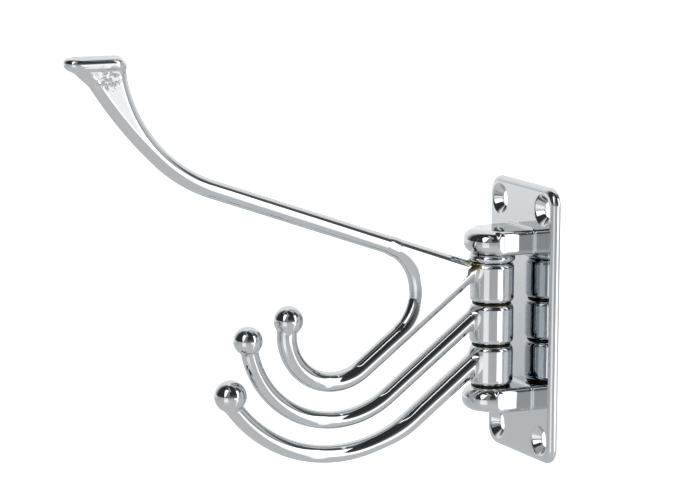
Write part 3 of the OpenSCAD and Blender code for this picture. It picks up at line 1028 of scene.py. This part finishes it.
# %% [markdown]
# ## Patches of light and dark
# The room and the floor also hold soft patches: a glow, a dark flag, a pool of light. Each is
# a band of azimuth times a band of elevation. A band is four angles: it rises between the
# first two and falls between the last two. A picture of a studio could be used as well, but
# a patch of four angles can be read, moved and sharpened one at a time.

# %% Bands and patches


def math_node(tree, operation, first, second=None):
    """A Math node whose inputs are numbers or other nodes' outputs."""
    settings = {"operation": operation}
    links = {}
    for socket, value in ((0, first), (1, second)):
        if isinstance(value, (int, float)):
            settings[socket] = value
        elif value is not None:
            links[socket] = value
    return add_node(tree, "ShaderNodeMath", settings, links).outputs[0]


def ramp(tree, value, low, high, start=0.0, end=1.0):
    """Goes smoothly from start to end while a value goes from low to high."""
    node = add_node(tree, "ShaderNodeMapRange",
                    {"interpolation_type": "SMOOTHSTEP", "From Min": low, "From Max": high,
                     "To Min": start, "To Max": end},
                    {"Value": value})
    return node.outputs["Result"]


def studio_angles(tree, vector):
    """Azimuth and elevation, in degrees, of a vector in the studio."""
    facing, right = studio_axes()
    parts = []
    for axis in (facing, right):
        dot = add_node(tree, "ShaderNodeVectorMath", {"operation": "DOT_PRODUCT", 1: axis},
                       {0: vector})
        parts.append(dot.outputs["Value"])
    height = add_node(tree, "ShaderNodeSeparateXYZ", {}, {0: vector}).outputs["Z"]
    azimuth = math_node(tree, "DEGREES", math_node(tree, "ARCTAN2", parts[1], parts[0]))
    elevation = math_node(tree, "DEGREES", math_node(tree, "ARCSINE", height))
    return azimuth, elevation


def band(tree, value, angles):
    """Rises from 0 to 1 between the first two angles and falls between the last two."""
    rising = ramp(tree, value, angles[0], angles[1])
    falling = ramp(tree, value, angles[2], angles[3], 1.0, 0.0)
    return math_node(tree, "MULTIPLY", rising, falling)


def towards_level(tree, level, share, target):
    """Moves a level towards a target by a share from 0 to 1."""
    settings, links = {"data_type": "FLOAT"}, {"Factor": share}
    for socket, value in (("A", level), ("B", target)):
        if isinstance(value, (int, float)):
            settings[socket] = value
        else:
            links[socket] = value
    return add_node(tree, "ShaderNodeMix", settings, links).outputs["Result"]


def with_patch(tree, level, angles, across, up, target):
    """A level with one patch laid over it."""
    share = math_node(tree, "MULTIPLY", band(tree, angles[0], across), band(tree, angles[1], up))
    return towards_level(tree, level, share, target)


print("a patch takes eight angles and a level")

# %% [markdown]
# ## Room
# The room is dark in front of the hook, which draws the dark lines along the rods, and light
# behind it, which keeps the far sides of the rods pale. To the right it grows lighter again,
# with a dark flag high up there that shades the tops of the knuckles. Under the horizon only
# the floor's far edge would show, so it has one plain level. To the camera itself the whole
# room is plain white, as the photograph's background is.

# %% Room
ROOM_BEHIND, ROOM_DARK, ROOM_RIGHT, ROOM_UNDER = 1.05, 0.04, 0.58, 0.55
BEHIND_EDGE = (-140, -98)
RIGHT_EDGE = (66, 74)
RIGHT_FADE = (72, 140)
UNDER_EDGE = (-1, 1)
LOW_GLOW = ((-35, -20, 40, 55), (-91, -90, 0, 24), 0.20)
HIGH_FLAG = ((48, 60, 98, 110), (21, 26, 62, 67), 0.10)

world = bpy.data.worlds.new("studio")
bpy.context.scene.world = world
world.use_nodes = True
tree = world.node_tree
tree.nodes.clear()
angles = studio_angles(tree, add_node(tree, "ShaderNodeTexCoord").outputs["Generated"])
azimuth, elevation = angles
level = ramp(tree, azimuth, *BEHIND_EDGE, ROOM_BEHIND, ROOM_DARK)
level = with_patch(tree, level, angles, *LOW_GLOW)
right_level = ramp(tree, azimuth, *RIGHT_FADE, ROOM_RIGHT, ROOM_BEHIND)
level = towards_level(tree, level, ramp(tree, azimuth, *RIGHT_EDGE), right_level)
level = with_patch(tree, level, angles, *HIGH_FLAG)
level = towards_level(tree, level, ramp(tree, elevation, *UNDER_EDGE, 1.0, 0.0), ROOM_UNDER)
path = add_node(tree, "ShaderNodeLightPath")
level = towards_level(tree, level, path.outputs["Is Camera Ray"], 1.0)
sky = add_node(tree, "ShaderNodeBackground", {"Color": linear("#FFFFFF")}, {"Strength": level})
add_node(tree, "ShaderNodeOutputWorld", {}, {"Surface": sky.outputs["Background"]})
print("the room has", len(tree.nodes), "nodes")

# %% [markdown]
# ## Floor
# The hook hangs well above a sweep of pale satin paper. To the camera the paper is white. The
# chrome sees it as a photographer's floor: dim, with pools where the lamps fall on it and a
# bright streak at the right-hand box's foot. The pools are seen only by glossy rays, so they
# shape the reflections without adding light to anything.

# %% Floor
FLOOR_Z = -0.45
FLOOR_HALF = 30
PAPER, PAPER_ROUGHNESS = "#EDEDED", 0.38
FLOOR_NEAR, FLOOR_FAR, FAR_EDGE = 0.20, 0.21, (-24, -9)
FLOOR_PATCHES = {
    "behind": ((-179, -165, -112, -98), (-13, -6, 90, 91), 0.60),
    "left pool": ((-46, -41, -18, -13), (-36, -22, -6, 8), 0.78),
    "streak": ((27, 30, 54.8, 56.3), (-15, -12, -5, -2), 1.7),
    "right pool": ((40, 42, 53, 55), (-32, -24, -8, 0), 1.4),
    # Painted light: a bright stripe on the floor under the right-hand box's left edge, seen only
    # by glossy rays.
    "seam": ((41, 43, 47, 49), (-70, -50, -8, 12), 1.0),
}

mesh = bpy.data.meshes.new("floor")
corners = [(x * FLOOR_HALF, y * FLOOR_HALF, 0) for x, y in ((-1, -1), (1, -1), (1, 1), (-1, 1))]
mesh.from_pydata(corners, [], [(0, 1, 2, 3)])
floor = bpy.data.objects.new("floor", mesh)
floor.location.z = FLOOR_Z
bpy.context.scene.collection.objects.link(floor)
material, tree = new_material("pale_floor")
paper = add_node(tree, "ShaderNodeBsdfPrincipled",
                 {"Base Color": linear(PAPER), "Roughness": PAPER_ROUGHNESS})
place = add_node(tree, "ShaderNodeNewGeometry").outputs["Position"]
way = add_node(tree, "ShaderNodeVectorMath", {"operation": "NORMALIZE"}, {0: place})
angles = studio_angles(tree, way.outputs["Vector"])
level = towards_level(tree, FLOOR_NEAR, ramp(tree, angles[1], *FAR_EDGE), FLOOR_FAR)
for across, up, target in FLOOR_PATCHES.values():
    level = with_patch(tree, level, angles, across, up, target)
path = add_node(tree, "ShaderNodeLightPath")
level = math_node(tree, "MULTIPLY", level, path.outputs["Is Glossy Ray"])
strength = math_node(tree, "MAXIMUM", level, path.outputs["Is Camera Ray"])
glow = add_node(tree, "ShaderNodeEmission", {"Color": linear("#FFFFFF")}, {"Strength": strength})
both = add_node(tree, "ShaderNodeAddShader", {},
                {0: paper.outputs["BSDF"], 1: glow.outputs["Emission"]})
add_node(tree, "ShaderNodeOutputMaterial", {}, {"Surface": both.outputs["Shader"]})
mesh.materials.append(material)
bpy.context.scene.view_settings.view_transform = "Standard"
print("floor patches:", ", ".join(FLOOR_PATCHES))
